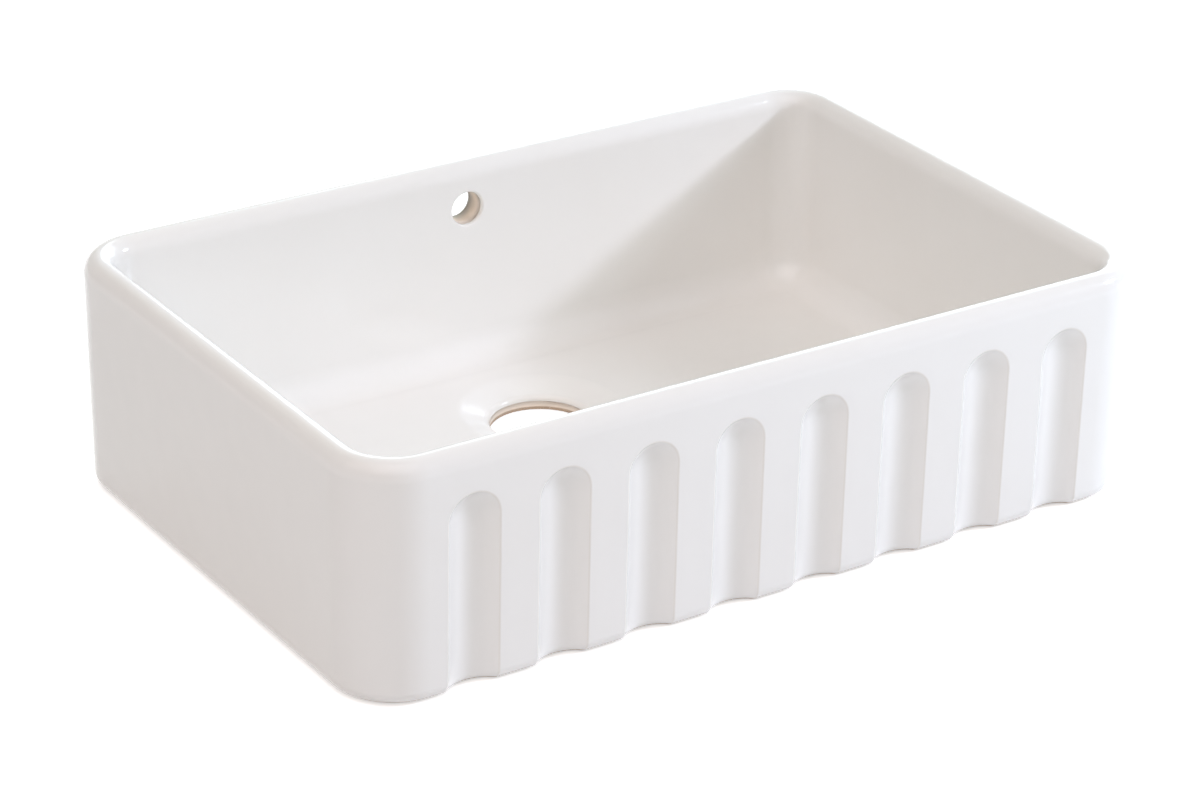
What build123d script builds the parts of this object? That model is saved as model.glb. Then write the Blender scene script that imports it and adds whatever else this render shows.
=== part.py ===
from build123d import *
from math import acos, atan2, ceil, cos, degrees, radians, sin, sqrt, tan
import os

# Farmhouse sink with a fluted apron front: one fired clay body under one coat of glaze.
# Millimetres. +Z is up, the fluted apron faces -Y, and the origin is the middle of the underside.

# Block
WIDTH = 762.0  # along X, over the widest line just under the rim
DEPTH = 508.0  # along Y, apron face to back face
HEIGHT = 208.0
CORNER_R = 58.0  # upright corners, in plan
DRAFT = 0.6  # degrees that each side leans in towards the foot
FOOT_R = 12.0  # rounding all round the foot

# Rim and bowl
WALL = 26.0  # wall thickness at the rim
RIM_RISE = 16.0  # height of the half-round top of the wall
BOWL_FLOOR = 21.5  # floor of the bowl above the underside
BOWL_DRAFT = 0.8  # degrees
BOWL_FOOT_R = 28.0  # cove between bowl walls and floor

# Flutes in the apron
FLUTE_COUNT = 8
FLUTE_PITCH = 81.2
FLUTE_WIDTH = 46.0
FLUTE_DEPTH = 10.5
FLUTE_TOP = 171.5  # highest point of each flute
FLUTE_LIP_R = 3.0  # soft edge between a flute and the land beside it
FLUTE_FOOT_R = 9.0  # rounding where a flute runs out under the apron
FOOT_DIP = 0.3  # the rounding still slopes by this much where it meets the underside

# Waste outlet, for a standard 90 mm basket waste
WASTE_R = 45.0
WASTE_SETBACK = 150.0  # outlet centre to back face
WASTE_LIP_R = 5.0
SEAT_HEIGHT = 13.0  # seat of the waste flange above the underside
DISH_R = 74.0  # edge of the conical dish round the outlet

# Overflow
OVERFLOW_R = 15.0
OVERFLOW_HEIGHT = 166.0
OVERFLOW_LIP = 1.2  # soft edge of both mouths

# Glaze
GLAZE = 1.0  # least thickness of the coat, which levels the flats of the clay
FOOT_LINE = 3.0  # the foot is wiped bare of glaze up to this height
LIP_WRAP = 1.0  # how far the glaze runs on into the overflow, beyond its lips

# Flats: lips, and all roundings of the clay under the glaze, turn in short flats
EDGE_FLAT = 45.0  # degrees of turn in a flat of a rounded edge, at most
HOLLOW_FLAT = 30.0  # degrees of turn in a flat of a hollow, at most
CORNER_FLATS = 5  # flats round each upright corner of the clay
CREST_TURN = 75.0  # degrees up each side of the clay's rim, where its flat top begins

RIM_Z = HEIGHT - RIM_RISE  # foot of the half-round rim, where the block is widest
FLAT_X = WIDTH / 2 - CORNER_R  # the upright corners turn about (+-FLAT_X, +-FLAT_Y)
FLAT_Y = DEPTH / 2 - CORNER_R
WASTE_Y = DEPTH / 2 - WASTE_SETBACK
CLEAR = 4.0  # how far cutting shapes reach past the clay


def spots(centre, radii, angles):
    """Points of an ellipse at the given angles."""
    return [
        (centre[0] + radii[0] * cos(radians(a)), centre[1] + radii[1] * sin(radians(a)))
        for a in angles
    ]


def chords(centre, radii, start, turn):
    """Flats just inside a curve, for a rounded edge."""
    count = ceil(abs(turn) / EDGE_FLAT)
    return spots(centre, radii, [start + turn * i / count for i in range(count + 1)])


def tangents(centre, radius, start, turn):
    """Flats just outside a curve, for a hollow."""
    count = ceil(abs(turn) / HOLLOW_FLAT)
    reach = radius / cos(radians(turn / count / 2))
    ends = spots(centre, (radius, radius), [start, start + turn])
    angles = [start + turn * (i + 0.5) / count for i in range(count)]
    return [ends[0], *spots(centre, (reach, reach), angles), ends[1]]


def drafted_block(width, depth, corner, bottom, lean, foot_radius):
    """Round-cornered block that narrows downwards from the rim and has a rounded foot."""
    with BuildPart() as block:
        with BuildSketch(Plane.XY.offset(RIM_Z)):
            RectangleRounded(width, depth, corner)
        extrude(amount=bottom - RIM_Z, taper=lean)
        fillet(block.faces().sort_by(Axis.Z)[0].edges(), foot_radius)
    return block.part


def glazed_tub():
    """Outside, half-round rim and bowl of the finished sink, before its flutes and outlets."""
    inner_width = WIDTH - 2 * WALL
    inner_depth = DEPTH - 2 * WALL
    outside = drafted_block(WIDTH, DEPTH, CORNER_R, 0, DRAFT, FOOT_R)
    bowl = drafted_block(
        inner_width, inner_depth, CORNER_R - WALL, BOWL_FLOOR, BOWL_DRAFT, BOWL_FOOT_R
    )
    with BuildSketch(Plane.XY.offset(RIM_Z)) as middle:
        RectangleRounded(WIDTH - WALL, DEPTH - WALL, CORNER_R - WALL / 2)
    path = middle.sketch.face().outer_wire()
    with BuildPart() as tub:
        add(outside)
        add(bowl, mode=Mode.SUBTRACT)
        with BuildSketch(Plane(origin=path @ 0, x_dir=(0, 0, 1), z_dir=path % 0)):
            Ellipse(RIM_RISE, WALL / 2)
            Rectangle(2 * RIM_RISE, WALL, align=(Align.MAX, Align.CENTER), mode=Mode.SUBTRACT)
        sweep(path=path)
    return tub.part


def flat_cornered_block(rows):
    """Block through rows of (distance outside the corner centres, height), in flats."""
    quarters = [(1, 1), (-1, 1), (-1, -1), (1, -1)]
    with BuildPart() as block:
        for reach, height in rows:
            outline = []
            for quarter, (x_side, y_side) in enumerate(quarters):
                turns = [90 * (quarter + i / CORNER_FLATS) for i in range(CORNER_FLATS + 1)]
                outline += spots((x_side * FLAT_X, y_side * FLAT_Y), (reach, reach), turns)
            with BuildSketch(Plane.XY.offset(height)):
                Polygon(*outline, align=None)
        loft(ruled=True)
    return block.part


def clay_tub():
    """Outside, rim and bowl of the clay under the glaze, before its flutes and outlets."""
    foot = FOOT_R - GLAZE
    foot_reach = CORNER_R - FOOT_R - (RIM_Z - FOOT_R) * tan(radians(DRAFT))
    cove = BOWL_FOOT_R + GLAZE
    cove_z = BOWL_FLOOR + BOWL_FOOT_R
    cove_reach = CORNER_R - WALL - BOWL_FOOT_R - (RIM_Z - cove_z) * tan(radians(BOWL_DRAFT))
    crest = (CORNER_R - WALL / 2, RIM_Z)
    rim = (WALL / 2 - GLAZE, RIM_RISE - GLAZE)
    outside = chords((foot_reach, FOOT_R), (foot, foot), -90, 90)
    outside += chords(crest, rim, 0, CREST_TURN)
    bowl = tangents((cove_reach, cove_z), cove, -90, 90)
    bowl += chords(crest, rim, 180, -CREST_TURN)
    bowl.append((bowl[-1][0], HEIGHT + CLEAR))
    with BuildPart() as tub:
        add(flat_cornered_block(outside))
        add(flat_cornered_block(bowl), mode=Mode.SUBTRACT)
    return tub.part


def flute_cutter(skin):
    """Ball-ended flute at the middle of the apron, with a flared foot and, in the glaze, soft lips."""
    ball = (FLUTE_WIDTH**2 / 4 + FLUTE_DEPTH**2) / (2 * FLUTE_DEPTH)
    bore = ball + skin
    centre = FLUTE_DEPTH - bore
    lip = FLUTE_LIP_R
    lip_x = sqrt((bore + lip) ** 2 - (lip - centre) ** 2)
    swing = degrees(acos(1 - FLUTE_DEPTH / bore) if skin else atan2(lip_x, lip - centre))
    end = FLUTE_TOP - FLUTE_WIDTH / 2
    face_y = -DEPTH / 2 + skin + (RIM_Z - end) * tan(radians(DRAFT))
    up = (0, -sin(radians(DRAFT)), cos(radians(DRAFT)))
    section = Plane(origin=(0, face_y, end), x_dir=(1, 0, 0), z_dir=up)
    foot = Plane(
        origin=section.from_local_coords((0, centre, skin - end)),
        x_dir=section.y_dir,
        z_dir=section.x_dir,
    )
    with BuildSketch() as half:
        with BuildLine():
            if skin:
                hollow = Polyline(*tangents((0, centre), bore, 90 - swing, swing))
                edge = hollow @ 0
            else:
                hollow = CenterArc((0, centre), bore, 90 - swing, swing)
                lips = Polyline(*chords((lip_x, lip), (lip, lip), -90 - swing, swing))
                edge = lips @ 1
            Polyline(hollow @ 1, (0, -CLEAR), (edge.X, -CLEAR), edge)
        make_face()
    with BuildPart() as cutter:
        with BuildSketch(section):
            add(half.sketch)
        revolve(axis=Axis(section.origin, -section.y_dir), revolution_arc=180)
        with BuildSketch(section):
            add(half.sketch)
            mirror(about=Plane.YZ)
        extrude(amount=-end - CLEAR)
        with BuildSketch(foot):
            with BuildLine():
                flare_r = FLUTE_FOOT_R - skin
                flare_top = flare_r - FOOT_DIP
                flare = Polyline(*chords((bore + flare_r, flare_top), (flare_r, flare_r), 180, 90))
                Polyline(flare @ 1, (bore + flare_r, -CLEAR), (0, -CLEAR), (0, flare_top), flare @ 0)
            make_face()
        revolve(axis=Axis(foot.origin, section.z_dir))
    return cutter.part


def waste_cutter(skin):
    """Waste bore with its rolled lip and conical dish."""
    lip = WASTE_LIP_R - skin
    lip_z = SEAT_HEIGHT - WASTE_LIP_R
    slope = (BOWL_FLOOR - SEAT_HEIGHT) / (DISH_R - WASTE_R - WASTE_LIP_R)
    rim_z = BOWL_FLOOR - skin + CLEAR
    with BuildPart() as cutter:
        Cylinder(WASTE_R, 2 * SEAT_HEIGHT)
        with BuildSketch(Plane.XZ):
            with BuildLine():
                rolled = Polyline(*chords((WASTE_R + WASTE_LIP_R, lip_z), (lip, lip), 90, 90))
                Polyline(
                    rolled @ 0,
                    (DISH_R + CLEAR / slope, rim_z),
                    (0, rim_z),
                    (0, lip_z),
                    rolled @ 1,
                )
            make_face()
        revolve(axis=Axis.Z)
    return cutter.part


def sink_form(skin):
    """The whole sink, less at least the given thickness wherever glaze lies."""
    tub = clay_tub() if skin else glazed_tub()
    flute = flute_cutter(skin)
    waste = waste_cutter(skin)
    with BuildPart() as form:
        add(tub)
        with GridLocations(FLUTE_PITCH, 1, FLUTE_COUNT, 1):
            add(flute, mode=Mode.SUBTRACT)
        with Locations((0, WASTE_Y)):
            add(waste, mode=Mode.SUBTRACT)
        with BuildSketch(Plane.XZ.offset(-DEPTH / 2)):
            with Locations((0, OVERFLOW_HEIGHT)):
                Circle(OVERFLOW_R + skin)
        extrude(amount=2 * WALL, both=True, mode=Mode.SUBTRACT)
        if not skin:
            mouths = form.edges(Select.LAST).group_by(Axis.Y)
            chamfer(mouths[0] + mouths[-1], OVERFLOW_LIP)
    return form.part


glazed_form = sink_form(0)
with BuildPart() as foot:
    add(glazed_form)
    split(bisect_by=Plane.XY.offset(FOOT_LINE), keep=Keep.BOTTOM)

with BuildPart() as fireclay_body:
    add(sink_form(GLAZE))
    add(foot.part)
    # bare clay shows in the middle of the overflow bore
    with BuildSketch(Plane.XZ.offset((WALL - DEPTH) / 2)):
        with Locations((0, OVERFLOW_HEIGHT)):
            Circle(OVERFLOW_R + GLAZE)
            Circle(OVERFLOW_R, mode=Mode.SUBTRACT)
    extrude(amount=WALL / 2 - OVERFLOW_LIP - LIP_WRAP, both=True)
fireclay_body.part.label = "fireclay_body"

with BuildPart() as glaze_coat:
    add(glazed_form)
    add(fireclay_body.part, mode=Mode.SUBTRACT)
glaze_coat.part.label = "glaze_coat"

os.makedirs("parts", exist_ok=True)
for piece in (fireclay_body, glaze_coat):
    export_step(piece.part, f"parts/{piece.part.label}.step")
    print(piece.part.label, round(piece.part.volume / 1e6, 3), piece.part.is_valid, len(piece.part.solids()))
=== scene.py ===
from math import asin, atan2, cos, pi, radians, sin, tan

import bpy
from bpy.props import FloatProperty, FloatVectorProperty, IntProperty, PointerProperty
from mathutils import Matrix, Vector
from mathutils.geometry import tessellate_polygon


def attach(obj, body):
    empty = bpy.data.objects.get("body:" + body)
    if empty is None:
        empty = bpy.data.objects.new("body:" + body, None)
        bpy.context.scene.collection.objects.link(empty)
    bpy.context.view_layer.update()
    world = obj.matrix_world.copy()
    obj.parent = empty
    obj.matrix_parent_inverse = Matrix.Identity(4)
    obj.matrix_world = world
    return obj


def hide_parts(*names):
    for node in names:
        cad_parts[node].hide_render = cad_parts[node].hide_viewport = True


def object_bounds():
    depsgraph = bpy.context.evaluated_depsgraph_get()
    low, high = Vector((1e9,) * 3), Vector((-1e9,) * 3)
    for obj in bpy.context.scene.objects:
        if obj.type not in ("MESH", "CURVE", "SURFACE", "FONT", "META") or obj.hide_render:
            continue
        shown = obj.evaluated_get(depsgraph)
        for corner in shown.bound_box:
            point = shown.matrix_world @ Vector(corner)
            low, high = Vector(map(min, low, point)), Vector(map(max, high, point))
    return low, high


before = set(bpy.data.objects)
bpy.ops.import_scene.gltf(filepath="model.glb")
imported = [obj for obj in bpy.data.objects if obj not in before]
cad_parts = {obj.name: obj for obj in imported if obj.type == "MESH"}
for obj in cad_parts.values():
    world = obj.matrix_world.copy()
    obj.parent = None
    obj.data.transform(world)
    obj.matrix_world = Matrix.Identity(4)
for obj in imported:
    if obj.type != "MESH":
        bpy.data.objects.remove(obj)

bl_info = {
    "name": "Fluted farmhouse sink",
    "version": (1, 0, 0),
    "blender": (4, 5, 0),
    "location": "3D View > Sidebar > Sink",
    "description": "White glazed fireclay sink with a fluted apron, in a plain studio",
    "category": "Add Mesh",
}

CAD_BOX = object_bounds()
LOW, HIGH = (Vector(corner) for corner in CAD_BOX)
MM = 0.001
PHOTO_WIDTH = 1200  # pixels
CAMERA_SENSOR = 36.0  # millimetres across the frame
FOCAL_PIXELS = 3946.0
FACING = "facing"  # the exact surface normal, one for each face corner
BARE = "bare"  # faces that the glaze leaves as bare clay
THIN = "thin"  # how far the glaze has thinned over an edge, 0 to 1
WALL = "edge_wall"  # faces across the thickness of the coat
BACK = "back"  # faces on the clay side of the coat
WELD = 1e-5  # metres, under which two points are one
GLOW_NEAR, GLOW_FAR = 0.7, 2.0  # metres from the middle, between which the floor turns full white
FLOOR_GAP = 0.0005  # metres between the underside and the floor
FLOOR_REACH = 6.0  # metres from the middle to the sides of the floor
CAMERA_PLACE = (-1.65547, -2.51258, 1.52063)  # metres
CAMERA_YAW, CAMERA_PITCH, CAMERA_ROLL = 33.27, 25.69, 0.92  # degrees
GLAZE_IOR = 1.5
GLAZE_SMOOTHEST, GLAZE_SPREAD = 0.09, 0.06  # least roughness, and how much noise adds
GLAZE_CLOUD = 0.25  # share of the thin glaze's colour in the clouds
GLAZE_WORN = 0.5  # share of it on an edge
GLAZE_WAVE = 0.0006  # metres, height of the slow waves
CLAY_SMOOTHEST, CLAY_SPREAD = 0.78, 0.2
CLAY_STAIN = 0.12  # share of the foot's colour in the stains
CLAY_SAND = 0.00006  # metres, height of the sandy grain
GROG_SIZE, GROG_SHOW = 0.16, 0.6  # grain radius in cells, and share of its colour


def length(name, description, default):
    """A size in metres, for the sidebar."""
    return FloatProperty(
        name=name, description=description, default=default, unit="LENGTH", precision=4
    )


def angle(name, description, default):
    """An angle in radians, for the sidebar."""
    return FloatProperty(name=name, description=description, default=default, unit="ROTATION")


def colour(name, description, default):
    """A linear colour, for the sidebar."""
    return FloatVectorProperty(
        name=name, description=description, default=default, subtype="COLOR", min=0.0, max=1.0
    )


def share(name, description, default):
    """A share, where 1 is full, for the sidebar."""
    return FloatProperty(
        name=name, description=description, default=default, min=0.0, subtype="FACTOR"
    )


def steps(name, description, default):
    """A number of divisions or copies, for the sidebar."""
    return IntProperty(name=name, description=description, default=default, min=1)


class SinkSizes(bpy.types.PropertyGroup):
    """Outside, bowl and outlets of the sink"""

    width: length("Width", "Left to right, under the rim", HIGH.x - LOW.x)
    depth: length("Depth", "Apron to back", HIGH.y - LOW.y)
    height: length("Height", "Underside to the top of the rim", HIGH.z - LOW.z)
    corner: length("Corner radius", "Upright outer corners, in plan", 58 * MM)
    draft: angle("Draft", "Lean of the outer sides towards the foot", radians(0.6))
    foot: length("Foot radius", "Rounding all round the foot", 12 * MM)
    wall: length("Wall", "Thickness of the wall at the rim", 26 * MM)
    rise: length("Rim rise", "Height of the half-round rim", 16 * MM)
    floor: length("Floor", "Floor of the bowl above the underside", 21.5 * MM)
    bowl_draft: angle("Bowl draft", "Lean of the bowl walls", radians(0.8))
    cove: length("Cove radius", "Rounding between bowl walls and floor", 28 * MM)
    waste: length("Waste radius", "Bore of the waste outlet", 45 * MM)
    waste_setback: length("Waste setback", "Waste centre to back face", 150 * MM)
    waste_lip: length("Waste lip radius", "Rolled edge of the outlet", 5 * MM)
    seat: length("Seat height", "Seat of the waste above the underside", 13 * MM)
    dish: length("Dish radius", "Edge of the dish round the outlet", 71 * MM)
    dish_height: length("Dish edge height", "Edge of the dish above the underside", 20.5 * MM)
    dish_edge: length("Dish edge rounding", "Rounding over the edge of the dish", 30 * MM)
    fall: length("Fall", "Width of the last fall of the floor round the dish", 21 * MM)
    fall_drop: length("Fall drop", "Drop over that width", 1.5 * MM)
    overflow: length("Overflow radius", "Bore of the overflow hole", 15 * MM)
    overflow_height: length("Overflow height", "Overflow centre above the underside", 166 * MM)
    overflow_lip: length("Overflow lip radius", "Soft edge of the overflow hole", 2.5 * MM)
    glaze: length("Glaze", "Thickness of the coat of glaze", 1 * MM)
    foot_line: length("Foot line", "Height up to which the foot is wiped bare", 3 * MM)
    lip_wrap: length("Lip wrap", "How far glaze runs into the overflow", 0.5 * MM)

    @property
    def rim_foot(self):
        return self.height - self.rise

    @property
    def waste_y(self):
        return self.depth / 2 - self.waste_setback

    @property
    def flat_x(self):
        """Half the straight part of a long side."""
        return self.width / 2 - self.corner

    @property
    def flat_y(self):
        """Half the straight part of a short side."""
        return self.depth / 2 - self.corner


class FluteSizes(bpy.types.PropertyGroup):
    """Row of flutes in the apron"""

    count: steps("Count", "Number of flutes", 8)
    pitch: length("Pitch", "Centre to centre", 81.2 * MM)
    width: length("Width", "Across a flute, at the face of the apron", 46 * MM)
    depth: length("Depth", "Deepest point below the face", 10.5 * MM)
    top: length("Top", "Highest point above the underside", 171.5 * MM)
    lip: length("Lip radius", "Soft edge between flute and land", 3 * MM)
    foot: length("Foot radius", "Rounding of the foot inside a flute", 9 * MM)


class MeshSteps(bpy.types.PropertyGroup):
    """Divisions of the curved surfaces"""

    corner: steps("Corner", "Upright corners", 24)
    bare_foot: steps("Bare foot", "Foot below the glaze", 4)
    glazed_foot: steps("Glazed foot", "Foot above the foot line", 6)
    side: steps("Side", "Sides below the flute ends", 4)
    shoulder: steps("Shoulder", "Sides beside the flute ends", 14)
    across: steps("Across", "Land above one flute end", 28)
    hollow: steps("Hollow", "Middle to lip of a flute", 10)
    lip: steps("Lip", "Lip of a flute", 6)
    rim: steps("Rim", "Half-round rim", 32)
    cove: steps("Cove", "Cove of the bowl", 20)
    outlet: steps("Outlet", "Round the waste outlet", 128)
    overflow: steps("Overflow", "Round the overflow", 64)
    edge: steps("Edge", "Small rolled edges", 8)


class SinkFinish(bpy.types.PropertyGroup):
    """Colours of the glaze and the bare clay"""

    glaze: colour("Glaze", "Warm white glaze", (0.885, 0.87, 0.845))
    thin: colour("Thin glaze", "Glaze where it thins over an edge", (0.79, 0.745, 0.68))
    # lighter than fired clay: partly a real wash of glaze, partly painted light that stands in for
    # light reaching the bores through the holes
    clay: colour("Clay", "Fired clay in the outlets, with a wash of glaze", (0.88, 0.765, 0.65))
    foot: colour("Foot", "Clay of the foot, wiped bare", (0.46, 0.34, 0.245))
    grog: colour("Grog", "Pale grains in the clay", (0.90, 0.83, 0.74))


class Studio(bpy.types.PropertyGroup):
    """Floor, surroundings and level of the light"""

    floor: colour("Floor", "Plain pale floor", (0.86, 0.86, 0.86))
    glow: share("Floor glow", "White that the eye sees on the floor, on top of its light", 0.55)
    ambient: share("Ambient", "Even light from all round", 0.25)
    level: share("Level", "Share of the lamps' power", 1.0)


# ---------------------------------------------------------------- form of the sink


class Skin:
    """Outer surface of the sink under construction: points with exact normals, and faces."""

    def __init__(self):
        self.points = []
        self.normals = []
        self.thin = []
        self.faces = []
        self.bare = []

    def point(self, place, normal, thin=0.0):
        self.points.append(Vector(place))
        self.normals.append(Vector(normal).normalized())
        self.thin.append(thin)
        return len(self.points) - 1

    def face(self, corners, bare=False):
        self.faces.append(tuple(corners))
        self.bare.append(bare)

    def strip(self, lower, upper, bare=False, closed=True):
        """Quads between two rows of points; lower runs anticlockwise seen from outside-above."""
        last = len(lower) if closed else len(lower) - 1
        for i in range(last):
            j = (i + 1) % len(lower)
            self.face((lower[i], lower[j], upper[j], upper[i]), bare)

    def fan(self, upper, first, last):
        """Flat wall from a row of points down to a straight edge with only two."""
        middle = len(upper) // 2
        for i in range(len(upper) - 1):
            if i == middle:
                self.face((upper[i], last, first))
            self.face((upper[i], upper[i + 1], first if i < middle else last))

    def sheet(self, outline, hole, normal):
        """Flat sheet inside an outline, round one hole."""
        loops = [[self.points[i] for i in loop] for loop in (outline, hole)]
        order = list(outline) + list(hole)
        for triangle in tessellate_polygon(loops):
            corners = [order[i] for i in triangle]
            a, b, c = (self.points[i] for i in corners)
            if (b - a).cross(c - a).dot(normal) < 0:
                corners.reverse()
            self.face(corners)

    def to_mesh(self, name):
        mesh = bpy.data.meshes.new(name)
        mesh.from_pydata(self.points, [], self.faces)
        facing = mesh.attributes.new(FACING, "FLOAT_VECTOR", "CORNER")
        for corner in mesh.loops:
            facing.data[corner.index].vector = self.normals[corner.vertex_index]
        mesh.attributes.new(BARE, "BOOLEAN", "FACE").data.foreach_set("value", self.bare)
        mesh.attributes.new(THIN, "FLOAT", "POINT").data.foreach_set("value", self.thin)
        return mesh


def arc(start, end, count):
    """Angles from start to end, both included."""
    return [start + (end - start) * i / count for i in range(count + 1)]


def wall_section(size, flute, step):
    """Outer half of the wall, from the underside to the foot of the rim, as (out, up, normal)."""
    slope = tan(size.draft)
    radius = size.foot
    line = asin(size.foot_line / radius - 1)
    centre = -(size.rim_foot - radius) * slope - radius / cos(size.draft)
    bend = arc(-pi / 2, line, step.bare_foot)[:-1] + arc(line, -size.draft, step.glazed_foot)
    section = [(centre + radius * cos(a), radius + radius * sin(a), (cos(a), sin(a))) for a in bend]
    tangent = section[-1][1]
    shoulder = flute.top - flute.width / 2
    heights = arc(tangent, shoulder, step.side)[1:]
    heights += arc(shoulder, size.rim_foot, step.shoulder)[1:]
    facing = (cos(size.draft), -sin(size.draft))
    section += [(-(size.rim_foot - z) * slope, z, facing) for z in heights]
    return section


def bowl_section(size, step):
    """Rim, bowl wall and cove, from the foot of the rim to the floor, as (out, up, normal)."""
    half = size.wall / 2
    section = []
    for a in arc(0, pi, step.rim)[1:]:
        normal = (cos(a) / half, sin(a) / size.rise)
        section.append((-half + half * cos(a), size.rim_foot + size.rise * sin(a), normal))
    lean = size.bowl_draft
    up = size.floor + size.cove
    centre = -size.wall - (size.rim_foot - up) * tan(lean) - size.cove / cos(lean)
    for a in arc(-lean, -pi / 2, step.cove):
        place = (centre + size.cove * cos(a), up + size.cove * sin(a))
        section.append((*place, (-cos(a), -sin(a))))
    return section


def rail(size, step):
    """Plan outline at its corners, anticlockwise from the back right, as (centre, outward)."""
    corners = []
    for quarter, (sx, sy) in enumerate(((1, 1), (-1, 1), (-1, -1), (1, -1))):
        centre = Vector((sx * size.flat_x, sy * size.flat_y, 0))
        turns = arc(quarter * pi / 2, (quarter + 1) * pi / 2, step.corner)
        corners.append([(centre, Vector((cos(a), sin(a), 0))) for a in turns])
    return corners


def sink_skin(size, flute, step):
    """Whole outer surface, apart from the underside and the fluted face of the apron."""
    skin = Skin()
    corners = rail(size, step)
    wall = wall_section(size, flute, step)
    bowl = bowl_section(size, step)
    up = Vector((0, 0, 1))

    def place(station, row):
        centre, out = station
        offset, height, (nx, nz) = row
        return skin.point(centre + out * (size.corner + offset) + up * height, out * nx + up * nz)

    # four corners of the outside, with the straight left, back and right sides between them
    outside = [[[place(station, row) for station in corner] for corner in corners] for row in wall]
    back, left, _, right = range(4)
    hatch = step.bare_foot + step.glazed_foot + step.side - 1
    for i in range(len(wall) - 1):
        lower, upper = outside[i], outside[i + 1]
        for k in range(4):
            skin.strip(lower[k], upper[k], closed=False)
        for k in (back, left, right):
            if k == back and i >= hatch:
                continue
            after = (k + 1) % 4
            skin.face((lower[k][-1], lower[after][0], upper[after][0], upper[k][-1]))
    window = outside[hatch:]
    frame_outer = [row[0][-1] for row in window] + [row[1][0] for row in reversed(window)]

    # rim, with a column under each point of the flutes' top edge
    south = Vector((0, -1, 0))
    half_row = flute.count * flute.pitch / 2
    across = arc(-half_row, half_row, flute.count * step.across)
    middle = [(Vector((x, -size.flat_y, 0)), south) for x in across[1:-1]]
    turn = len(corners[0])
    ring = outside[-1][0] + outside[-1][1] + outside[-1][2]
    ring += [place(station, wall[-1]) for station in middle] + outside[-1][3]
    stations = corners[0] + corners[1] + corners[2] + middle + corners[3]
    for row in bowl[: step.rim]:
        following = [place(station, row) for station in stations]
        skin.strip(ring, following)
        ring = following

    # bowl walls and cove, in straight runs between the corners
    front_edge = ring[3 * turn - 1 : -turn + 1]
    ring = ring[: 3 * turn] + ring[-turn:]
    stations = corners[0] + corners[1] + corners[2] + corners[3]
    inner_frame = []
    for row in bowl[step.rim :]:
        following = [place(station, row) for station in stations]
        for i in range(len(stations)):
            j = (i + 1) % len(stations)
            below_rim = row is bowl[step.rim]
            if below_rim and i == turn - 1:
                inner_frame = [ring[i], ring[j], following[j], following[i]]
            elif below_rim and i == 3 * turn - 1:
                skin.fan(front_edge, following[i], following[j])
            else:
                skin.face((ring[i], ring[j], following[j], following[i]))
        ring = following

    dish = waste_rings(skin, size, step)
    skin.sheet(ring, dish, up)
    overflow_tube(skin, size, step, frame_outer, inner_frame)
    return skin


def waste_rings(skin, size, step):
    """Fall, dish, rolled lip and bore of the waste; returns its outermost ring."""
    fall_slope = size.fall_drop / size.fall
    start = size.dish + (size.floor - size.dish_height) / fall_slope
    lip = Vector((size.waste + size.waste_lip, size.seat - size.waste_lip))
    edge = Vector((size.dish, size.dish_height))
    run = edge - (lip + Vector((0, size.waste_lip)))
    # tangent from the edge of the dish to the top of the lip
    cone = atan2(run.y, run.x)
    gentle = atan2(size.fall_drop, size.fall)
    reach = size.dish_edge * tan((cone - gentle) / 2)
    profile = [(start, size.floor, gentle, 0.0)]
    centre = edge + Vector((cos(gentle), sin(gentle))) * reach
    centre += Vector((sin(gentle), -cos(gentle))) * size.dish_edge
    for a in arc(gentle, cone, step.edge):
        across = centre.x - size.dish_edge * sin(a)
        height = centre.y + size.dish_edge * cos(a)
        profile.append((across, height, a, 0.0))
    profile.append((lip.x, lip.y + size.waste_lip, cone, 0.0))
    for a in arc(pi / 2, pi, step.edge)[1:]:
        place = lip + Vector((cos(a), sin(a))) * size.waste_lip
        profile.append((place.x, place.y, a - pi / 2, 2 * a / pi - 1))
    profile.append((size.waste, 0.0, pi / 2, 0.0))
    rings = []
    for radius, height, lean, thin in profile:
        ring = []
        for a in arc(0, 2 * pi, step.outlet)[:-1]:
            out = Vector((cos(a), sin(a), 0))
            normal = -out * sin(lean) + Vector((0, 0, cos(lean)))
            ring.append(skin.point(Vector((0, size.waste_y, height)) + out * radius, normal, thin))
        rings.append(ring)
    for i in range(len(rings) - 1):
        skin.strip(rings[i], rings[i + 1], bare=i == len(rings) - 2)
    return rings[0]


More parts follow.
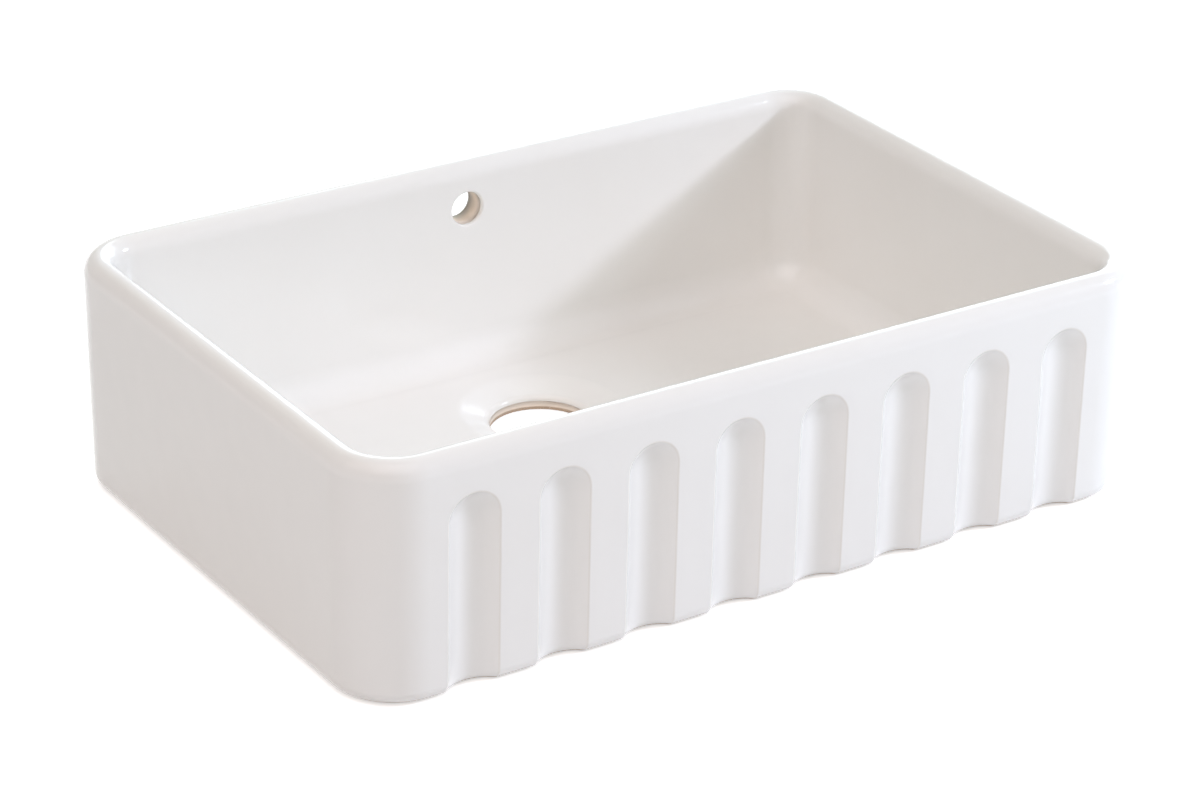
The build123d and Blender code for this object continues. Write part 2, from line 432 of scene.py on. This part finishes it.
def overflow_tube(skin, size, step, outer_frame, inner_frame):
    """Overflow hole through the back wall, with two soft mouths, set in the wall's two windows."""
    up = Vector((0, 0, 1))
    east = Vector((1, 0, 0))
    height = size.overflow_height
    drop = size.rim_foot - height
    mouths = (
        (
            size.depth / 2 - drop * tan(size.draft),
            Vector((0, cos(size.draft), -sin(size.draft))),
            outer_frame,
        ),
        (
            size.depth / 2 - size.wall - drop * tan(size.bowl_draft),
            Vector((0, -cos(size.bowl_draft), sin(size.bowl_draft))),
            inner_frame,
        ),
    )
    turns = arc(0, 2 * pi, step.overflow)[:-1]
    middle_y = (size.depth - size.wall) / 2
    middle = []
    for a in turns:
        out = east * cos(a) + up * sin(a)
        middle.append(skin.point(Vector((0, middle_y, height)) + out * size.overflow, -out))
    for y, normal, outline in mouths:
        upright = east.cross(normal)
        if upright.z < 0:
            upright = -upright
        centre = Vector((0, y, height))
        profile = []
        for b in arc(0, pi / 2, step.edge):
            radius = size.overflow + size.overflow_lip * (1 - sin(b))
            profile.append((radius, size.overflow_lip * (1 - cos(b)), b))
        profile.append((size.overflow, size.overflow_lip + size.lip_wrap, pi / 2))
        rings = []
        for radius, deep, b in profile:
            ring = []
            for a in turns:
                out = east * cos(a) + upright * sin(a)
                place = centre + out * radius - normal * deep
                ring.append(skin.point(place, normal * cos(b) - out * sin(b), 2 * b / pi))
            rings.append(ring)
        rings.append(middle)
        skin.sheet(outline, rings[0], normal)
        for i in range(len(rings) - 1):
            pair = (rings[i], rings[i + 1])
            if normal.y > 0:
                pair = pair[::-1]
            skin.strip(*pair, bare=i == len(rings) - 2)


# ---------------------------------------------------------------- node helpers


def feed(tree, socket, term):
    """Links a node's input to a field or socket, or sets it to a number."""
    if isinstance(term, Field):
        term = term.socket
    if isinstance(term, bpy.types.NodeSocket):
        tree.links.new(term, socket)
    else:
        socket.default_value = term


class Field:
    """A value in a node tree that adds and multiplies as a number does."""

    def __init__(self, tree, socket):
        self.tree = tree
        self.socket = socket

    def apply(self, operation, *terms):
        node = self.tree.nodes.new("ShaderNodeMath")
        node.operation = operation
        for socket, term in zip(node.inputs, terms):
            feed(self.tree, socket, term)
        return Field(self.tree, node.outputs[0])

    def __add__(self, other):
        return self.apply("ADD", self, other)

    def __radd__(self, other):
        return self.apply("ADD", other, self)

    def __sub__(self, other):
        return self.apply("SUBTRACT", self, other)

    def __rsub__(self, other):
        return self.apply("SUBTRACT", other, self)

    def __mul__(self, other):
        return self.apply("MULTIPLY", self, other)

    def __rmul__(self, other):
        return self.apply("MULTIPLY", other, self)

    def __truediv__(self, other):
        return self.apply("DIVIDE", self, other)

    def __neg__(self):
        return self.apply("MULTIPLY", self, -1.0)

    def power(self, exponent):
        return self.apply("POWER", self, exponent)

    def root(self):
        return self.apply("SQRT", self)

    def sine(self):
        return self.apply("SINE", self)

    def cosine(self):
        return self.apply("COSINE", self)

    def tangent(self):
        return self.apply("TANGENT", self)

    def arcsine(self):
        return self.apply("ARCSINE", self)

    def bearing(self, other):
        return self.apply("ARCTAN2", self, other)

    def least(self, other):
        return self.apply("MINIMUM", self, other)

    def most(self, other):
        return self.apply("MAXIMUM", self, other)

    def whole(self):
        return self.apply("ROUND", self)

    def below(self, other):
        return self.apply("LESS_THAN", self, other)

    def above(self, other):
        return self.apply("GREATER_THAN", self, other)

    def clamped(self):
        return self.most(0.0).least(1.0)

    def choose(self, yes, no):
        """yes where this field is 1, no where it is 0"""
        return no + self * (yes - no)


class Tree:
    """A geometry node tree under construction."""

    def __init__(self, name):
        self.group = bpy.data.node_groups.new(name, "GeometryNodeTree")
        self.group.is_modifier = True
        kind = "NodeSocketGeometry"
        for way in ("INPUT", "OUTPUT"):
            self.group.interface.new_socket("Geometry", in_out=way, socket_type=kind)
        self.source = self.group.nodes.new("NodeGroupInput")
        self.identifiers = {}

    def input(self, name, kind, description):
        """Adds a named input; returns its field."""
        socket = self.group.interface.new_socket(name, in_out="INPUT", socket_type=kind)
        socket.description = description
        self.identifiers[name] = socket.identifier
        return Field(self.group, self.source.outputs[name])

    def node(self, kind, settings=None, **inputs):
        """Adds a node: settings by attribute, inputs by name with underscores for spaces."""
        node = self.group.nodes.new(kind)
        for key, value in (settings or {}).items():
            setattr(node, key, value)
        for name, term in inputs.items():
            feed(self.group, self.enabled(node.inputs, name), term)
        return node

    def enabled(self, sockets, name):
        wanted = name.replace("_", " ").strip()
        return next(s for s in sockets if s.enabled and s.name == wanted)

    def field(self, node, name):
        return Field(self.group, self.enabled(node.outputs, name))

    def finish(self, geometry):
        output = self.group.nodes.new("NodeGroupOutput")
        self.group.links.new(geometry, output.inputs[0])
        return self.group


# ---------------------------------------------------------------- flutes and coat as Geometry Nodes


def flute_fields(tree, i, j, value):
    """Place, exact normal and thinness of glaze at a point of one flute tile, i steps out from the
    middle of the flute and j steps along it: up its left side, round its end, down its right."""
    ball = (value["Flute Width"].power(2.0) / 4.0 + value["Flute Depth"].power(2.0)) / (
        2.0 * value["Flute Depth"]
    )
    lip = value["Lip Radius"]
    centre = value["Flute Depth"] - ball
    lip_x = ((ball + lip).power(2.0) - (lip - centre).power(2.0)).root()
    swing = lip_x.bearing(lip - centre)

    # across the flute: a round hollow, a soft lip, then flat land out to the edge of the tile
    hollow, lip_steps = value["Hollow Steps"], value["Lip Steps"]
    in_hollow = i.below(hollow + 0.5)
    on_edge = i.above(hollow + lip_steps + 0.5)
    turn_in = swing * (i / hollow).least(1.0)
    turn_lip = swing * (1.0 - ((i - hollow) / lip_steps).clamped())
    out = in_hollow.choose(ball * turn_in.sine(), lip_x - lip * turn_lip.sine())
    sunk = in_hollow.choose(ball * turn_in.cosine() + centre, lip * (1.0 - turn_lip.cosine()))
    slope = in_hollow.choose(turn_in, turn_lip).tangent()
    thin = (1.0 - in_hollow) * (4.0 * (turn_lip / swing) * (1.0 - turn_lip / swing))

    # along the flute: up the side, half a turn round the end, and down again
    side, bare, glazed = value["Side Steps"], value["Bare Foot Steps"], value["Glazed Foot Steps"]
    shoulder, across = value["Shoulder Steps"], value["Across Steps"]
    leg = side + bare + glazed
    end = 2.0 * shoulder + across
    round_end = j - leg
    turn = pi * (1.0 - (round_end / end).clamped())
    down = (-round_end).most(round_end - end).most(0.0)
    on_side = (down / side).least(1.0)
    on_glazed = ((down - side) / glazed).clamped()
    on_bare = ((down - side - glazed) / bare).clamped()

    # the wall section that every column follows, with its rounded foot
    draft, rim_foot = value["Draft"], value["Rim Foot"]
    foot = value["Foot Radius"] + (value["Flute Foot Radius"] - value["Foot Radius"]) * (
        sunk / value["Flute Depth"]
    )
    line = (value["Foot Line"] / foot - 1.0).arcsine()
    bend = (line + draft) * on_glazed - draft + (-pi / 2 - line) * on_bare
    shoulder_z = value["Flute Top"] - value["Flute Width"] / 2.0
    land_above = rim_foot - shoulder_z
    past_land = ((round_end - shoulder - across) / shoulder).clamped()
    up_land = (round_end / shoulder).clamped() - past_land
    rise = on_edge.choose(land_above * up_land, out * turn.sine())
    along = ((round_end - shoulder) / across).clamped()
    x = on_edge.choose(value["Flute Pitch"] * (along - 0.5), out * turn.cosine())
    straight_z = shoulder_z + (foot * (1.0 - draft.sine()) - shoulder_z) * on_side + rise
    z = straight_z + foot * (bend.sine() + draft.sine())
    offset = foot * (bend.cosine() - draft.cosine()) - (rim_foot - straight_z) * draft.tangent()
    y = sunk - value["Apron Face"] - offset

    place = tree.node("ShaderNodeCombineXYZ", X=x, Y=y, Z=z)
    normal = tree.node(
        "ShaderNodeCombineXYZ",
        X=-(slope * turn.cosine() * bend.cosine()),
        Y=-bend.cosine(),
        Z=bend.sine() - slope * turn.sine() * bend.cosine(),
    )
    unit = tree.node("ShaderNodeVectorMath", {"operation": "NORMALIZE"}, Vector=normal.outputs[0])
    return place.outputs[0], unit.outputs[0], thin


def fluted_coat():
    """Tree that sets the flutes into the skin's open apron, closes the underside, and gives either
    the coat of glaze or the clay under it."""
    tree = Tree("Fluted coat")
    sizes = {
        "Flute Pitch": "Centre to centre",
        "Flute Width": "Across a flute, at the face of the apron",
        "Flute Depth": "Deepest point below the face",
        "Flute Top": "Highest point above the underside",
        "Lip Radius": "Soft edge between flute and land",
        "Flute Foot Radius": "Rounding of the foot inside a flute",
        "Apron Face": "Middle of the sink to the apron, at the foot of the rim",
        "Rim Foot": "Foot of the rim above the underside",
        "Flat Half Width": "Half the straight part of the apron",
        "Foot Radius": "Rounding of the foot of the lands",
        "Foot Line": "Height up to which the foot is bare",
        "Glaze Thickness": "Thickness of the coat",
        "Draft": "Lean of the apron, in radians",
    }
    counts = {
        "Flute Count": "Number of flutes",
        "Hollow Steps": "Middle to lip",
        "Lip Steps": "Across the lip",
        "Side Steps": "Sides below the flute ends",
        "Shoulder Steps": "Sides beside the flute ends",
        "Across Steps": "Land above one flute end",
        "Glazed Foot Steps": "Foot above the foot line",
        "Bare Foot Steps": "Foot below the glaze",
    }
    value = {name: tree.input(name, "NodeSocketFloat", text) for name, text in sizes.items()}
    value.update({name: tree.input(name, "NodeSocketInt", text) for name, text in counts.items()})
    as_glaze = tree.input("Glaze Only", "NodeSocketBool", "The coat, or else the clay under it")
    material = tree.input("Material", "NodeSocketMaterial", "Finish of the result")

    # one tile: a flute with its share of the land round it
    rings = value["Hollow Steps"] + value["Lip Steps"] + 1.0
    leg = value["Side Steps"] + value["Bare Foot Steps"] + value["Glazed Foot Steps"]
    columns = 2.0 * leg + 2.0 * value["Shoulder Steps"] + value["Across Steps"]
    grid = tree.node(
        "GeometryNodeMeshGrid",
        Size_X=rings,
        Size_Y=columns,
        Vertices_X=rings + 1.0,
        Vertices_Y=columns + 1.0,
    )
    flat = separated_place(tree)
    i = (tree.field(flat, "X") + rings / 2.0).whole()
    j = (tree.field(flat, "Y") + columns / 2.0).whole()
    place, normal, thin = flute_fields(tree, i, j, value)
    turned = tree.node("GeometryNodeFlipFaces", Mesh=grid.outputs["Mesh"])
    stored = store(tree, turned.outputs[0], FACING, "FLOAT_VECTOR", "CORNER", normal)
    stored = store(tree, stored, THIN, "FLOAT", "POINT", thin)
    tile = tree.node("GeometryNodeSetPosition", Geometry=stored, Position=place)

    # the row of tiles, its ends trimmed to the straight part of the apron
    start = tree.node(
        "ShaderNodeCombineXYZ", X=-(value["Flute Count"] - 1.0) * value["Flute Pitch"] / 2.0
    )
    gap = tree.node("ShaderNodeCombineXYZ", X=value["Flute Pitch"])
    line = tree.node(
        "GeometryNodeMeshLine",
        Count=value["Flute Count"],
        Start_Location=start.outputs[0],
        Offset=gap.outputs[0],
    )
    row = tree.node(
        "GeometryNodeInstanceOnPoints", Points=line.outputs[0], Instance=tile.outputs["Geometry"]
    )
    real = tree.node("GeometryNodeRealizeInstances", Geometry=row.outputs[0])
    now = separated_place(tree)
    half = value["Flat Half Width"]
    trimmed = tree.node(
        "ShaderNodeCombineXYZ",
        X=tree.field(now, "X").least(half).most(-half),
        Y=tree.field(now, "Y"),
        Z=tree.field(now, "Z"),
    )
    row, place = real.outputs[0], trimmed.outputs[0]
    row = tree.node("GeometryNodeSetPosition", Geometry=row, Position=place)
    body = welded(tree, tree.source.outputs["Geometry"], row.outputs[0])

    # the underside closes the last open loops
    sides = tree.node("GeometryNodeInputMeshEdgeNeighbors")
    rim_edges = tree.field(sides, "Face Count").below(1.5)
    loops = tree.node("GeometryNodeMeshToCurve", Mesh=body, Selection=rim_edges)
    under = tree.node("GeometryNodeFillCurve", Curve=loops.outputs[0])
    under = tree.node("GeometryNodeFlipFaces", Mesh=under.outputs[0])
    down = tree.node("ShaderNodeCombineXYZ", Z=-1.0)
    under = store(tree, under.outputs[0], FACING, "FLOAT_VECTOR", "CORNER", down.outputs[0])
    body = welded(tree, body, under)

    # bare clay: what the skin says, and the foot below the foot line
    height = separated_place(tree)
    below = tree.field(height, "Z").below(value["Foot Line"])
    named = attribute(tree, BARE, "FLOAT")
    bare = (below + named).above(0.5)

    # the coat: the glazed faces, the same faces one coat deeper, and the edge walls between them
    settings = {"domain": "FACE"}
    glazed = tree.node("GeometryNodeDeleteGeometry", settings, Geometry=body, Selection=bare)
    glazed = glazed.outputs[0]
    inside = sunken(tree, glazed, None, value["Glaze Thickness"])
    inside = tree.node("GeometryNodeFlipFaces", Mesh=inside).outputs[0]
    coat = welded(tree, glazed, inside)
    # the clay: the same form with the glazed faces sunk by one coat
    clay = sunken(tree, body, 1.0 - bare, value["Glaze Thickness"])

    settings = {"input_type": "GEOMETRY"}
    chosen = tree.node("GeometryNodeSwitch", settings, Switch=as_glaze, False_=clay, True_=coat)
    smooth = tree.node("GeometryNodeSetShadeSmooth", Geometry=chosen.outputs[0])
    wall = attribute(tree, WALL, "FLOAT")
    back = attribute(tree, BACK, "FLOAT") * as_glaze
    facing = attribute(tree, FACING, "FLOAT_VECTOR")
    signed = tree.node(
        "ShaderNodeVectorMath", {"operation": "SCALE"}, Vector=facing.socket, Scale=1.0 - 2.0 * back
    )
    flat_normal = tree.node("GeometryNodeInputNormal")
    on_face = tree.node(
        "GeometryNodeFieldOnDomain",
        {"data_type": "FLOAT_VECTOR", "domain": "FACE"},
        Value=flat_normal.outputs["True Normal"],
    )
    mixed = tree.node(
        "ShaderNodeMix",
        {"data_type": "VECTOR"},
        Factor=wall,
        A=signed.outputs[0],
        B=tree.field(on_face, "Value"),
    )
    normals = tree.node(
        "GeometryNodeSetMeshNormal",
        {"mode": "FREE", "domain": "CORNER"},
        Mesh=smooth.outputs[0],
        Custom_Normal=tree.field(mixed, "Result"),
    )
    real = tree.node("GeometryNodeRealizeInstances", Geometry=normals.outputs[0])
    done = tree.node("GeometryNodeSetMaterial", Geometry=real.outputs[0], Material=material)
    tree.finish(done.outputs[0])
    return tree


def separated_place(tree):
    """Node with the X, Y and Z of each point."""
    place = tree.node("GeometryNodeInputPosition").outputs[0]
    return tree.node("ShaderNodeSeparateXYZ", Vector=place)


def attribute(tree, name, kind):
    """Field that reads a named attribute."""
    node = tree.node("GeometryNodeInputNamedAttribute", {"data_type": kind}, Name=name)
    return tree.field(node, "Attribute")


def store(tree, geometry, name, kind, domain, value):
    """Stores a named attribute; returns the geometry."""
    settings = {"data_type": kind, "domain": domain}
    inputs = {"Geometry": geometry, "Name": name, "Value": value}
    return tree.node("GeometryNodeStoreNamedAttribute", settings, **inputs).outputs[0]


def welded(tree, *parts):
    """Joins meshes and merges the points that they share; returns the geometry."""
    join = tree.node("GeometryNodeJoinGeometry")
    for part in parts:
        tree.group.links.new(part, join.inputs[0])
    merge = tree.node("GeometryNodeMergeByDistance", Geometry=join.outputs[0], Distance=WELD)
    return merge.outputs[0]


def sunken(tree, mesh, selection, thickness):
    """Sinks faces along their exact normals, with walls round their edges; returns the geometry."""
    extrude = tree.node("GeometryNodeExtrudeMesh", Mesh=mesh, Offset_Scale=0.0, Individual=False)
    if selection is not None:
        feed(tree.group, extrude.inputs["Selection"], selection)
    inward = tree.node(
        "ShaderNodeVectorMath",
        {"operation": "SCALE"},
        Vector=attribute(tree, FACING, "FLOAT_VECTOR").socket,
        Scale=-thickness,
    )
    moved = tree.node(
        "GeometryNodeSetPosition",
        Geometry=extrude.outputs["Mesh"],
        Selection=extrude.outputs["Top"],
        Offset=inward.outputs[0],
    )
    marked = store(tree, moved.outputs[0], WALL, "FLOAT", "FACE", extrude.outputs["Side"])
    return store(tree, marked, BACK, "FLOAT", "FACE", extrude.outputs["Top"])


def coat_object(context, name, glaze_only, material):
    """One body made by the fluted coat tree, as a plain mesh."""
    scene = context.scene
    size, flute, step = scene.sink_sizes, scene.sink_flutes, scene.sink_steps
    source = bpy.data.objects.new(name + "_source", sink_skin(size, flute, step).to_mesh(name))
    scene.collection.objects.link(source)
    tree = fluted_coat()
    modifier = source.modifiers.new("Fluted coat", "NODES")
    modifier.node_group = tree.group
    values = {
        "Flute Pitch": flute.pitch,
        "Flute Width": flute.width,
        "Flute Depth": flute.depth,
        "Flute Top": flute.top,
        "Lip Radius": flute.lip,
        "Flute Foot Radius": flute.foot,
        "Apron Face": size.depth / 2,
        "Rim Foot": size.rim_foot,
        "Flat Half Width": size.flat_x,
        "Foot Radius": size.foot,
        "Foot Line": size.foot_line,
        "Glaze Thickness": size.glaze,
        "Draft": size.draft,
        "Flute Count": flute.count,
        "Hollow Steps": step.hollow,
        "Lip Steps": step.lip,
        "Side Steps": step.side,
        "Shoulder Steps": step.shoulder,
        "Across Steps": step.across,
        "Glazed Foot Steps": step.glazed_foot,
        "Bare Foot Steps": step.bare_foot,
        "Glaze Only": glaze_only,
        "Material": material,
    }
    for key, value in values.items():
        modifier[tree.identifiers[key]] = value
    context.view_layer.update()
    depsgraph = context.evaluated_depsgraph_get()
    mesh = bpy.data.meshes.new_from_object(source.evaluated_get(depsgraph))
    bpy.data.objects.remove(source)
    mesh.name = name
    piece = bpy.data.objects.new(name, mesh)
    scene.collection.objects.link(piece)
    return piece


# ---------------------------------------------------------------- finishes


class Shader:
    """A material's node tree, read in Object coordinates."""

    def __init__(self, name):
        self.material = bpy.data.materials.new(name)
        self.material.use_nodes = True
        self.tree = self.material.node_tree
        self.surface = self.tree.nodes["Principled BSDF"]
        self.place = self.tree.nodes.new("ShaderNodeTexCoord").outputs["Object"]

    def node(self, kind, settings=None, **inputs):
        node = self.tree.nodes.new(kind)
        for key, value in (settings or {}).items():
            setattr(node, key, value)
        for name, term in inputs.items():
            wanted = name.replace("_", " ")
            feed(self.tree, next(s for s in node.inputs if s.enabled and s.name == wanted), term)
        return node

    def noise(self, scale, detail=3.0, roughness=0.5):
        """Noise with features 1/scale metres across, from 0 to 1."""
        node = self.node(
            "ShaderNodeTexNoise", Vector=self.place, Scale=scale, Detail=detail, Roughness=roughness
        )
        return Field(self.tree, node.outputs[0])

    def blend(self, factor, a, b):
        """Colour a where the factor is 0, b where it is 1."""
        node = self.node("ShaderNodeMix", {"data_type": "RGBA"}, Factor=factor, A=a, B=b)
        return next(s for s in node.outputs if s.enabled)

    def bump(self, height, distance, strength=1.0):
        node = self.node("ShaderNodeBump", Height=height, Distance=distance, Strength=strength)
        return node.outputs[0]

    def set(self, name, term):
        feed(self.tree, self.surface.inputs[name], term)


def opaque(colour_value):
    """A linear colour as red, green, blue and full alpha."""
    return (*colour_value, 1.0)


def glaze_finish(finish):
    """Fired white glaze: glossy, faintly uneven, warmer where it thins over an edge."""
    shader = Shader("glaze")
    thin = shader.node("ShaderNodeAttribute", {"attribute_name": THIN})
    cloud = shader.noise(6.0, 2.0)
    tint = shader.blend((cloud * GLAZE_CLOUD).clamped(), opaque(finish.glaze), opaque(finish.thin))
    worn = Field(shader.tree, thin.outputs["Fac"]) * GLAZE_WORN
    shader.set("Base Color", shader.blend(worn, tint, opaque(finish.thin)))
    shader.set("Roughness", GLAZE_SMOOTHEST + shader.noise(14.0) * GLAZE_SPREAD)
    shader.set("IOR", GLAZE_IOR)
    waves = shader.bump(shader.noise(22.0, 1.0), GLAZE_WAVE)
    shader.set("Normal", waves)
    return shader.material


def clay_finish(finish, foot_line):
    """Bare fired fireclay: matt, sandy, with pale grains, and darker on the wiped foot; its colour
    in the outlets is partly a real wash of glaze and partly painted light.
    """
    shader = Shader("fireclay")
    height = shader.node("ShaderNodeSeparateXYZ", Vector=shader.place)
    height = Field(shader.tree, height.outputs["Z"])
    stain = shader.noise(25.0, 3.0)
    # the wiped edge wanders a little, and fades over its width
    wiped = ((foot_line * (0.8 + stain * 0.6) - height) / (0.4 * foot_line)).clamped()
    # the outlets' clay colour carries painted light as well as the wash of glaze, brightening the
    # bores where light comes through the holes
    base = shader.blend(wiped, opaque(finish.clay), opaque(finish.foot))
    base = shader.blend(stain * CLAY_STAIN, base, opaque(finish.foot))
    grain = shader.node("ShaderNodeTexVoronoi", Vector=shader.place, Scale=700.0)
    speck = Field(shader.tree, grain.outputs["Distance"]).below(GROG_SIZE)
    sand = shader.noise(900.0, 4.0, 0.7)
    shader.set("Base Color", shader.blend(speck * GROG_SHOW, base, opaque(finish.grog)))
    shader.set("Roughness", CLAY_SMOOTHEST + sand * CLAY_SPREAD)
    shader.set("Normal", shader.bump(sand, CLAY_SAND))
    return shader.material


def what_eye_sees(tree):
    """1 for the camera, and for what shows in gloss or through glass; 0 for light on the sink."""
    path = tree.nodes.new("ShaderNodeLightPath")
    rays = ("Camera", "Glossy", "Transmission")
    eye, gloss, glass = (path.outputs[f"Is {ray} Ray"] for ray in rays)
    return Field(tree, eye).most(gloss).most(glass)


def floor_finish(studio):
    """Matt pale floor that shows white and takes the sink's shadow; clear seen from below."""
    shader = Shader("floor")
    shader.set("Base Color", opaque(studio.floor))
    shader.set("Roughness", 0.9)
    shader.set("Specular IOR Level", 0.0)
    # full white away from the sink, where the lamps fade
    reach = shader.node("ShaderNodeVectorMath", {"operation": "LENGTH"}, Vector=shader.place)
    reach = Field(shader.tree, reach.outputs["Value"])
    away = ((reach - GLOW_NEAR) / (GLOW_FAR - GLOW_NEAR)).clamped()
    strength = what_eye_sees(shader.tree) * away.choose(1.0, studio.glow)
    glow = shader.node("ShaderNodeEmission", Strength=strength)
    both = shader.tree.nodes.new("ShaderNodeAddShader")
    feed(shader.tree, both.inputs[0], shader.surface.outputs[0])
    feed(shader.tree, both.inputs[1], glow.outputs[0])
    one_sided = shader.tree.nodes.new("ShaderNodeMixShader")
    under = shader.tree.nodes.new("ShaderNodeNewGeometry").outputs["Backfacing"]
    clear = shader.tree.nodes.new("ShaderNodeBsdfTransparent")
    feed(shader.tree, one_sided.inputs[0], under)
    feed(shader.tree, one_sided.inputs[1], both.outputs[0])
    feed(shader.tree, one_sided.inputs[2], clear.outputs[0])
    feed(shader.tree, shader.tree.nodes["Material Output"].inputs["Surface"], one_sided.outputs[0])
    return shader.material


def studio_world(studio):
    """White to the eye, and a little even light on the sink."""
    world = bpy.data.worlds.new("studio")
    world.use_nodes = True
    tree = world.node_tree
    background = tree.nodes["Background"]
    background.inputs["Color"].default_value = (1.0, 1.0, 1.0, 1.0)
    seen = what_eye_sees(tree)
    feed(tree, background.inputs["Strength"], seen.choose(1.0, studio.ambient))
    return world


# ---------------------------------------------------------------- operators


class SINK_OT_glaze(bpy.types.Operator):
    """Fluted, half-round rimmed coat of white glaze over the whole sink"""

    bl_idname = "sink.glaze"
    bl_label = "Glaze"

    def execute(self, context):
        piece = coat_object(context, "glaze", True, glaze_finish(context.scene.sink_finish))
        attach(piece, "root")
        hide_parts("glaze_coat")
        return {"FINISHED"}


class SINK_OT_clay(bpy.types.Operator):
    """Fired clay body, bare on its foot and in its outlets"""

    bl_idname = "sink.clay"
    bl_label = "Fireclay body"

    def execute(self, context):
        scene = context.scene
        clay = clay_finish(scene.sink_finish, scene.sink_sizes.foot_line)
        piece = coat_object(context, "clay", False, clay)
        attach(piece, "root")
        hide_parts("fireclay_body")
        return {"FINISHED"}


def aim(obj, target, roll=0.0):
    """Turns a lamp or camera to face a point."""
    look = (target - obj.location).to_track_quat("-Z", "Y")
    obj.rotation_euler = (look.to_matrix() @ Matrix.Rotation(roll, 3, "Z")).to_euler()


# name, bearing clockwise from the back and elevation in degrees,
# distance, width and height in metres, watts, tint
LAMPS = (
    ("window", 50.0, 22.0, 3.0, 2.5, 2.0, 46.0, (0.78, 0.92, 1.0)),
    ("key_low", 120.0, 24.0, 3.0, 0.5, 0.2, 33.0, (0.76, 0.82, 1.0)),
    ("key_high", 126.0, 27.0, 3.0, 0.5, 0.5, 17.0, (0.80, 0.91, 1.0)),
    ("front_top", 210.0, 50.0, 3.0, 3.0, 3.0, 25.5, (1.0, 0.97, 0.99)),
    ("left_top", 250.0, 50.0, 3.0, 3.0, 3.0, 24.0, (1.0, 0.85, 0.82)),
    ("back_top", 0.0, 60.0, 3.0, 3.0, 3.0, 15.0, (0.93, 1.0, 0.94)),
)


def lamp(context, level, entry):
    """Soft lamp that faces the sink, from one line of the table, at a share of its power."""
    name, bearing, elevation, distance, width, height, power, tint = entry
    light = bpy.data.lights.new(name, "AREA")
    light.shape = "RECTANGLE"
    light.size = width
    light.size_y = height
    light.energy = power * level
    light.color = tint
    obj = bpy.data.objects.new(name, light)
    b, e = radians(bearing), radians(elevation)
    centre = Vector((0, 0, (LOW.z + HIGH.z) / 2))
    obj.location = centre + distance * Vector((sin(b) * cos(e), cos(b) * cos(e), sin(e)))
    aim(obj, centre)
    context.scene.collection.objects.link(obj)


class SINK_OT_stage(bpy.types.Operator):
    """Pale floor, soft studio lamps and the camera of the photograph"""

    bl_idname = "sink.stage"
    bl_label = "Studio"

    def execute(self, context):
        scene = context.scene
        studio = scene.sink_studio
        floor = bpy.data.meshes.new("floor")
        signs = ((-1, -1), (1, -1), (1, 1), (-1, 1))
        corners = [(x * FLOOR_REACH, y * FLOOR_REACH, LOW.z - FLOOR_GAP) for x, y in signs]
        floor.from_pydata(corners, [], [(0, 1, 2, 3)])
        floor.materials.append(floor_finish(studio))
        ground = bpy.data.objects.new("floor", floor)
        scene.collection.objects.link(ground)
        scene.world = studio_world(studio)
        for entry in LAMPS:
            lamp(context, studio.level, entry)
        camera = bpy.data.cameras.new("photo")
        camera.sensor_width = CAMERA_SENSOR
        camera.lens = CAMERA_SENSOR * FOCAL_PIXELS / PHOTO_WIDTH
        view = bpy.data.objects.new("photo", camera)
        yaw, pitch, roll = (radians(turn) for turn in (CAMERA_YAW, CAMERA_PITCH, CAMERA_ROLL))
        forward = Vector((sin(yaw) * cos(pitch), cos(yaw) * cos(pitch), -sin(pitch)))
        view.location = CAMERA_PLACE
        aim(view, view.location + forward, roll=roll)
        scene.collection.objects.link(view)
        scene.camera = view
        scene.view_settings.view_transform = "Standard"
        return {"FINISHED"}


class SINK_PT_panel(bpy.types.Panel):
    """Sizes, steps, finish and studio of the sink, and what makes them"""

    bl_label = "Farmhouse sink"
    bl_idname = "SINK_PT_panel"
    bl_space_type = "VIEW_3D"
    bl_region_type = "UI"
    bl_category = "Sink"

    def draw(self, context):
        for name in GROUPS:
            group = getattr(context.scene, name)
            column = self.layout.column(align=True)
            for key in group.bl_rna.properties.keys():
                if key not in ("rna_type", "name"):
                    column.prop(group, key)
        for operator in (SINK_OT_clay, SINK_OT_glaze, SINK_OT_stage):
            self.layout.operator(operator.bl_idname)


GROUPS = {
    "sink_sizes": SinkSizes,
    "sink_flutes": FluteSizes,
    "sink_steps": MeshSteps,
    "sink_finish": SinkFinish,
    "sink_studio": Studio,
}
CLASSES = (*GROUPS.values(), SINK_OT_clay, SINK_OT_glaze, SINK_OT_stage, SINK_PT_panel)


def register():
    for cls in CLASSES:
        bpy.utils.register_class(cls)
    for name, group in GROUPS.items():
        setattr(bpy.types.Scene, name, PointerProperty(type=group))


def unregister():
    for name in GROUPS:
        delattr(bpy.types.Scene, name)
    for cls in reversed(CLASSES):
        bpy.utils.unregister_class(cls)


def main():
    register()
    bpy.ops.sink.clay()
    bpy.ops.sink.glaze()
    bpy.ops.sink.stage()


if __name__ == "__main__":
    main()
